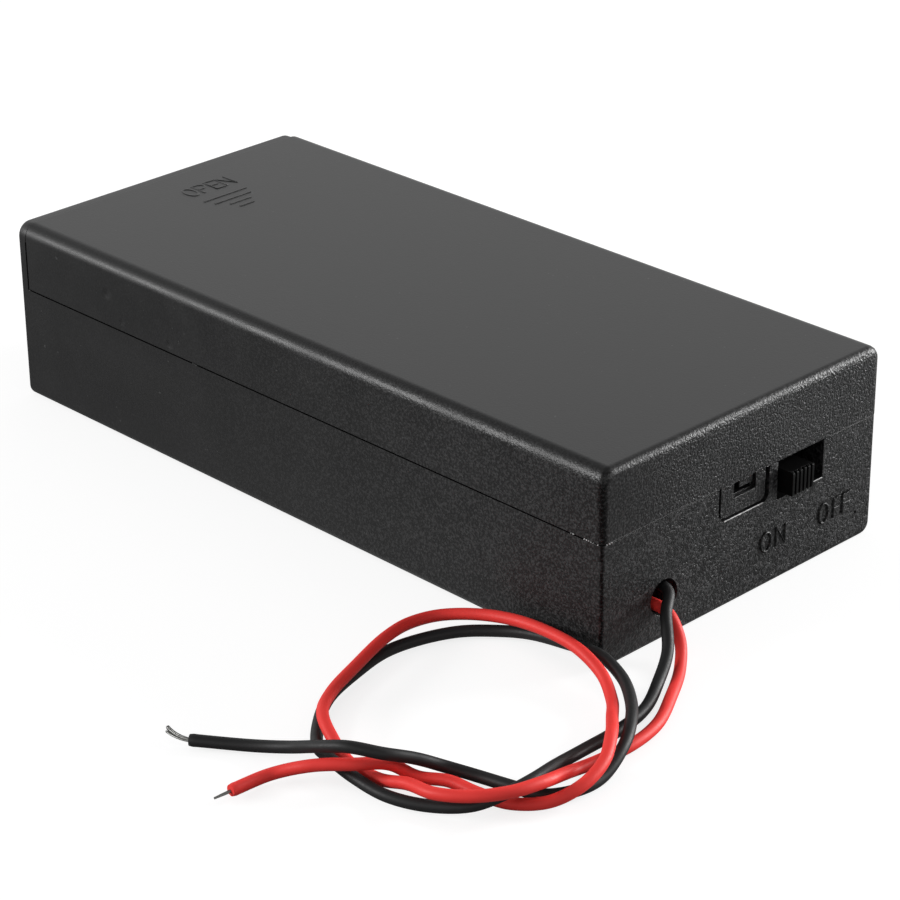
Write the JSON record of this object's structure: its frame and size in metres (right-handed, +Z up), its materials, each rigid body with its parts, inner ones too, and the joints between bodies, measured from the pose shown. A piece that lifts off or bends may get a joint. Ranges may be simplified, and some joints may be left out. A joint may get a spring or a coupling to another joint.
{
  "type": "battery holder with switch",
  "caption": "Black battery box for cylindrical cells side by side, with a sliding cover, an end-mounted slide switch and free red and black leads",
  "frame": {"origin": "centre of the underside of the box with its knob, on the surface it stands on; the leads are left out", "axes": "+X along the box's length toward the end with the switch and leads, +Y toward the switch's side of that end, +Z up through the cover"},
  "size_m": [0.1087, 0.0857, 0.0221],
  "materials": {
    "abs_black": "satin, fine spark-eroded texture",
    "switch_black": "satin",
    "phenolic_board": "matte",
    "phosphor_bronze": "satin",
    "tinned_terminal": "tinned",
    "nickel_plate": "bright nickel plated",
    "spring_steel": "bright nickel plated",
    "pvc_red": "smooth soft insulation",
    "pvc_black": "smooth soft insulation",
    "tinned_copper": "bright twisted strands"
  },
  "bodies": {
    "case": {"case_base": "abs_black", "lead_red": "pvc_red", "lead_black": "pvc_black", "lead_red_conductor": "tinned_copper", "lead_black_conductor": "tinned_copper", "switch_housing": "switch_black", "switch_terminal_board": "phenolic_board", "switch_terminal_on": "tinned_terminal", "switch_terminal_common": "tinned_terminal", "switch_terminal_off": "tinned_terminal", "positive_contact": "nickel_plate", "negative_contact": "nickel_plate", "negative_spring": "spring_steel", "bridge_contact": "nickel_plate", "bridge_spring": "spring_steel", "jumper_wire": "pvc_red"},
    "cover": {"sliding_cover": "abs_black"},
    "knob": {"switch_knob": "switch_black", "switch_contact": "phosphor_bronze"}
  },
  "joints": [
    {"name": "cover_slide", "type": "slide", "parent": "case", "child": "cover", "axis": [1, 0, 0], "range_m": [0, 0.093]},
    {"name": "switch_slide", "type": "slide", "parent": "case", "child": "knob", "axis": [0, 1, 0], "range_m": [0, 0.003]}
  ]
}
